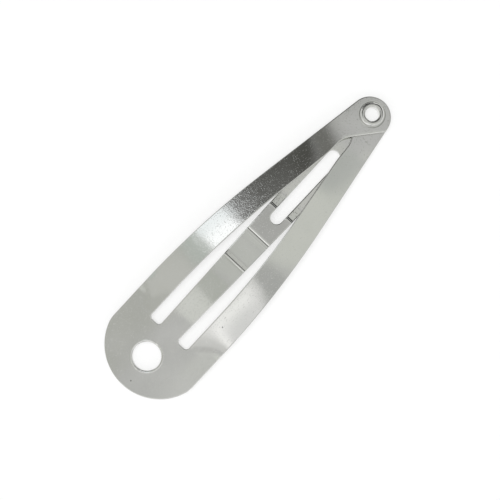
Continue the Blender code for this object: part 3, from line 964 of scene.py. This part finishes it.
# Studio, painted on the sky by angles in degrees from straight up. Later panels hide earlier ones.
ZENITH_COLOUR = (0.6, 0.6, 0.603, 1)
SKY_COLOUR = (0.68, 0.68, 0.68, 1)
HORIZON_COLOUR = (1.0, 1.0, 1.0, 1)
ZENITH_RIM = math.radians(20)
SKY_RIM = math.radians(45)
HORIZON_RIM = math.radians(72)
HORIZON = math.radians(84)
PANELS = [
    soft_panel("bright wall past the heel", (-66, -24), (-30, 30), (4, 4), (1.2, 1.2, 1.2)),
    soft_panel("dark wall past the tip", (22, 72), (-18, 18), (5, 5), (0.08, 0.08, 0.08)),
    soft_panel("left wall", (-40, 0), (0.4, 40), (0.8, 0.8), (0.565, 0.57, 0.545)),
    soft_panel("left wall, lit", (-16, -8.5), (2.6, 40), (1.6, 0.8), (0.632, 0.636, 0.612)),
    soft_panel("left wall, green", (-8.2, 0), (5, 40), (1.5, 1.5), (0.59, 0.627, 0.6)),
    soft_panel("heel glow", (-34, -14), (-30, -0.75), (2, 1.4), (0.75, 0.755, 0.74)),
    soft_panel("right gap", (-12, 0.1), (-40, -4), (1.4, 1.4), (0.52, 0.525, 0.52)),
    soft_panel("right streak", (-19, -12), (-3.6, -1.7), (2, 0.8), (0.6, 0.6, 0.595)),
    soft_panel("right wall", (-60, -1.1), (-40, -3.5), (4.6, 0.5), (0.75, 0.75, 0.745), skew=0.45),
    soft_panel("right soft box", (-60, -1.1), (-40, -7.3), (4.6, 4.2), (1.19, 1.185, 1.19), skew=0.45),
    soft_panel("right box, far", (-60, -1.1), (-40, -10.6), (4.6, 4.4), (0.89, 0.89, 0.9), skew=0.45),
    soft_panel("right fill", (-3.35, 14.6), (-40, -3), (2.4, 2.4), (0.7, 0.715, 0.678), skew=-0.35),
    soft_panel("right fill, far", (15.4, 22), (-40, -1.5), (3, 2), (0.565, 0.58, 0.565)),
    soft_panel("tongue fill", (5, 16.6), (-2.2, 1.4), (1.4, 0.8), (0.67, 0.675, 0.655)),
    soft_panel("dip shade", (19.8, 31), (-2.4, 2), (1, 1), (0.655, 0.665, 0.64)),
    soft_panel("tongue glow", (-14.2, -10.2), (-1.6, 1.2), (0.25, 0.7), (0.8, 0.81, 0.785)),
    soft_panel("tongue shade", (-10.2, -7.4), (-1.6, 1.2), (0.5, 0.7), (0.575, 0.59, 0.56)),
    soft_panel("tongue lit", (-7, -1), (-1.6, 1.3), (1.6, 0.7), (0.65, 0.66, 0.64)),
    soft_panel("tongue dim", (-0.5, 4.2), (-1.6, 1.4), (0.8, 0.8), (0.52, 0.52, 0.515)),
    soft_panel("flag, low part", (8, 30), (1.7, 26), (4, 3.4), (0.2, 0.2, 0.19)),
    soft_panel("flag, rim", (0.9, 30), (5.5, 26), (1.0, 1.2), (0.25, 0.25, 0.25)),
    soft_panel("flag, core", (5.4, 30), (6.5, 26), (9, 3), (0.095, 0.095, 0.088)),
    soft_panel("left soft box", (-5.2, 1.0), (4, 14), (0.7, 0.8), (1.4, 1.42, 1.46)),
    soft_panel("left box, far", (-5.2, 1.7), (10.6, 20), (0.5, 2.6), (1.16, 1.21, 1.25)),
]
CARDS = [
    round_card("dark wall beside the tip", azimuth=58, zenith=66, spread=30, soft=5, level=0.05),
    round_card("bright card over the ears", azimuth=-129, zenith=36, spread=20, soft=6, level=1.7),
    round_card("dark card under the bright one", azimuth=-129, zenith=80, spread=17, soft=5, level=0.1),
]
FLOOR_SIZE = 6.0
FLOOR_COLOUR = (0.9, 0.9, 0.9, 1)
FLOOR_GLOW_SHARE = 0.55
FLOOR_GLOW_LEVEL = 1.0
LAMP_STRENGTH = 1.8
LAMP_ANGLE = math.radians(30)
LAMP_LEAN = math.radians(3.5)

# Camera, straight above the clip and turned to the photograph's angle
CAMERA_TURN = math.radians(-47.13)
CAMERA_TARGET_X = -0.00089
CAMERA_TARGET_Y = -0.00029
VIEW_WIDTH = 0.06477
LENS = 200
SENSOR_WIDTH = 36


def ray_kind(tree):
    """1 for rays from the camera and for mirrored or refracted ones, else 0."""
    path = add_node(tree, "ShaderNodeLightPath")
    seen = math_of(tree, "MAXIMUM", path.outputs["Is Camera Ray"], path.outputs["Is Glossy Ray"])
    return math_of(tree, "MAXIMUM", seen, path.outputs["Is Transmission Ray"])


def painted(tree, name, mask, below, colour):
    """Colour laid over another one where the mask is 1, by a node that bears the name."""
    sockets = {0: mask, 6: below, 7: colour}
    return add_node(tree, "ShaderNodeMix", sockets, data_type="RGBA", label=name).outputs[2]


def card_mask(tree, card, direction):
    """Round soft-edged card, placed by its azimuth from X and its angle from straight up."""
    azimuth = math.radians(card["azimuth"])
    zenith = math.radians(card["zenith"])
    out = math.sin(zenith)
    axis = (out * math.cos(azimuth), out * math.sin(azimuth), math.cos(zenith))
    dot = add_node(tree, "ShaderNodeVectorMath", {0: direction, 1: axis}, operation="DOT_PRODUCT")
    edges = [math.cos(math.radians(card["spread"] + half * card["soft"])) for half in (0.5, -0.5)]
    return range_of(tree, dot.outputs["Value"], *edges, smooth=True)


def panel_mask(tree, panel, angles):
    """Soft-edged panel, placed by its angles along X and along Y, whose X edges lean by the skew."""
    mask = 1.0
    lean = math_of(tree, "MULTIPLY", angles["y"], panel["skew"])
    leaning = math_of(tree, "SUBTRACT", angles["x"], lean)
    for name, angle, full_soft in zip("xy", (leaning, angles["y"]), panel["soft"]):
        low, high = (math.radians(edge) for edge in panel[name])
        soft = math.radians(full_soft) / 2
        off_centre = math_of(tree, "ABSOLUTE", math_of(tree, "SUBTRACT", angle, (low + high) / 2))
        half = (high - low) / 2
        inside = range_of(tree, off_centre, half - soft, half + soft, 1, 0, smooth=True)
        mask = math_of(tree, "MULTIPLY", mask, inside)
    return mask


def build_world():
    world = bpy.data.worlds.new("studio")
    bpy.context.scene.world = world
    world.use_nodes = True
    tree = world.node_tree
    background = tree.nodes["Background"]
    direction = add_node(tree, "ShaderNodeTexCoord").outputs["Generated"]
    parts = add_node(tree, "ShaderNodeSeparateXYZ", {"Vector": direction}).outputs
    from_zenith = math_of(tree, "ARCCOSINE", parts["Z"])
    sky = range_of(tree, from_zenith, ZENITH_RIM, SKY_RIM, smooth=True)
    colour = painted(tree, "sky", sky, ZENITH_COLOUR, SKY_COLOUR)
    glow = range_of(tree, from_zenith, HORIZON_RIM, HORIZON, smooth=True)
    colour = painted(tree, "horizon", glow, colour, HORIZON_COLOUR)
    for card in CARDS:
        grey = (card["level"],) * 3 + (1,)
        colour = painted(tree, card["name"], card_mask(tree, card, direction), colour, grey)
    angles = {name: math_of(tree, "ARCTAN2", parts[name.upper()], parts["Z"]) for name in ("x", "y")}
    for panel in PANELS:
        light = panel["colour"] + (1,)
        colour = painted(tree, panel["name"], panel_mask(tree, panel, angles), colour, light)
    tree.links.new(colour, background.inputs["Color"])
    background.inputs["Strength"].default_value = 1


def floor_material():
    """Matt and pale, partly shining white to the camera and to mirrors, and clear from below."""
    material = bpy.data.materials.new("floor")
    material.use_nodes = True
    tree = material.node_tree
    tree.nodes.remove(tree.nodes["Principled BSDF"])
    matt = add_node(tree, "ShaderNodeBsdfDiffuse", {"Color": FLOOR_COLOUR}).outputs[0]
    white = {"Color": (1, 1, 1, 1), "Strength": FLOOR_GLOW_LEVEL}
    glow = add_node(tree, "ShaderNodeEmission", white).outputs[0]
    share = math_of(tree, "MULTIPLY", ray_kind(tree), FLOOR_GLOW_SHARE)
    pale = add_node(tree, "ShaderNodeMixShader", {0: share, 1: matt, 2: glow}).outputs[0]
    clear = add_node(tree, "ShaderNodeBsdfTransparent").outputs[0]
    back = add_node(tree, "ShaderNodeNewGeometry").outputs["Backfacing"]
    shown = add_node(tree, "ShaderNodeMixShader", {0: back, 1: pale, 2: clear}).outputs[0]
    tree.links.new(shown, tree.nodes["Material Output"].inputs["Surface"])
    return material


def build_floor():
    """A plain floor at the height of the clip's lowest points."""
    bm = bmesh.new()
    bmesh.ops.create_grid(bm, x_segments=1, y_segments=1, size=FLOOR_SIZE / 2)
    mesh = bpy.data.meshes.new("floor")
    bm.to_mesh(mesh)
    bm.free()
    floor = bpy.data.objects.new("floor", mesh)
    bpy.context.scene.collection.objects.link(floor)
    floor.location.z = cad_low.z
    mesh.materials.append(floor_material())


def build_lamp():
    """A broad soft lamp overhead, which gives the contact shadow."""
    light = bpy.data.lights.new("overhead", "SUN")
    light.energy = LAMP_STRENGTH
    light.angle = LAMP_ANGLE
    lamp = bpy.data.objects.new("overhead", light)
    lamp.visible_glossy = False
    lamp.rotation_euler = (-LAMP_LEAN, 0, 0)
    bpy.context.scene.collection.objects.link(lamp)


def build_camera():
    data = bpy.data.cameras.new("camera")
    data.lens = LENS
    data.sensor_width = SENSOR_WIDTH
    data.clip_start = VIEW_WIDTH / 10
    camera = bpy.data.objects.new("camera", data)
    distance = VIEW_WIDTH * LENS / SENSOR_WIDTH
    camera.location = (CAMERA_TARGET_X, CAMERA_TARGET_Y, distance + (cad_low.z + cad_high.z) / 2)
    camera.rotation_euler = (0, 0, CAMERA_TURN)
    bpy.context.scene.collection.objects.link(camera)
    bpy.context.scene.camera = camera


build_world()
build_floor()
build_lamp()
build_camera()
bpy.context.scene.view_settings.view_transform = "Standard"
